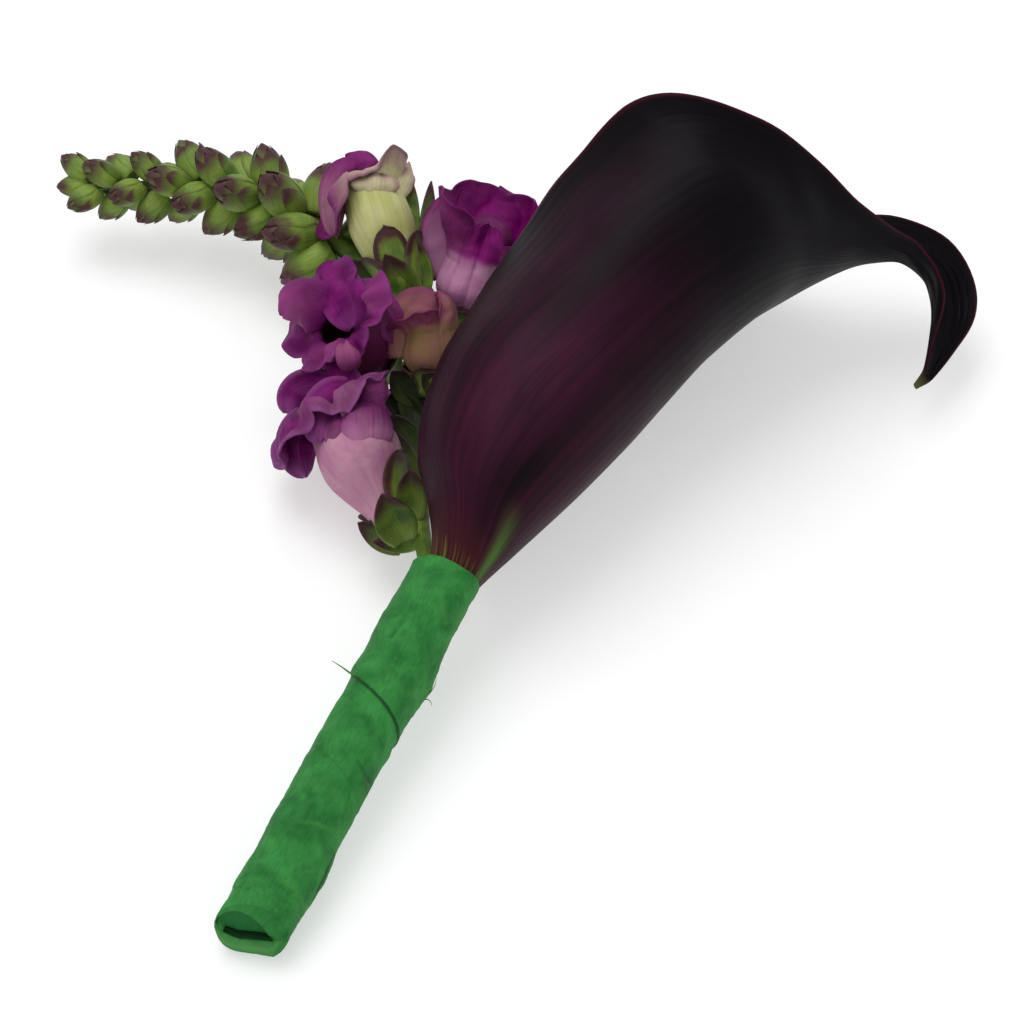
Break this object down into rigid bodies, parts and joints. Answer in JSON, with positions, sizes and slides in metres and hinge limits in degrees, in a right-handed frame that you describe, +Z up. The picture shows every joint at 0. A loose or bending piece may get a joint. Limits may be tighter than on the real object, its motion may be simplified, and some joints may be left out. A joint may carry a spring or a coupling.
{
  "type": "calla lily boutonniere",
  "caption": "Dark burgundy calla lily and a purple snapdragon stem bound in a handle of green floral tape, lying on its side.",
  "frame": {"origin": "middle of the footprint, on the surface that the spray lies on", "axes": "+Z up from the surface; +Y from the taped handle towards the flowers, +X towards the calla's bent tip"},
  "size_m": [0.1604, 0.1564, 0.0578],
  "materials": {
    "tape": "matte crepe with a slight wax",
    "calla_green": "smooth fresh stem",
    "spathe": "satin waxy petal, near-black burgundy",
    "spadix": "matte, finely grained",
    "spike_green": "soft matte green with purple-brown tips",
    "petal_magenta": "soft satin petal, magenta fading to pale pink",
    "petal_deep": "soft satin petal, deep purple",
    "petal_cream": "soft satin petal, greenish cream with purple lips"
  },
  "bodies": {
    "root": {"floral_tape": "tape", "calla_stem": "calla_green", "calla_spathe": "spathe", "calla_spadix": "spadix", "snapdragon_spike": "spike_green", "snapdragon_bloom_1": "petal_cream", "snapdragon_bloom_2": "petal_magenta", "snapdragon_bloom_3": "petal_deep", "snapdragon_bloom_4": "petal_cream", "snapdragon_bloom_5": "petal_magenta"}
  },
  "joints": []
}
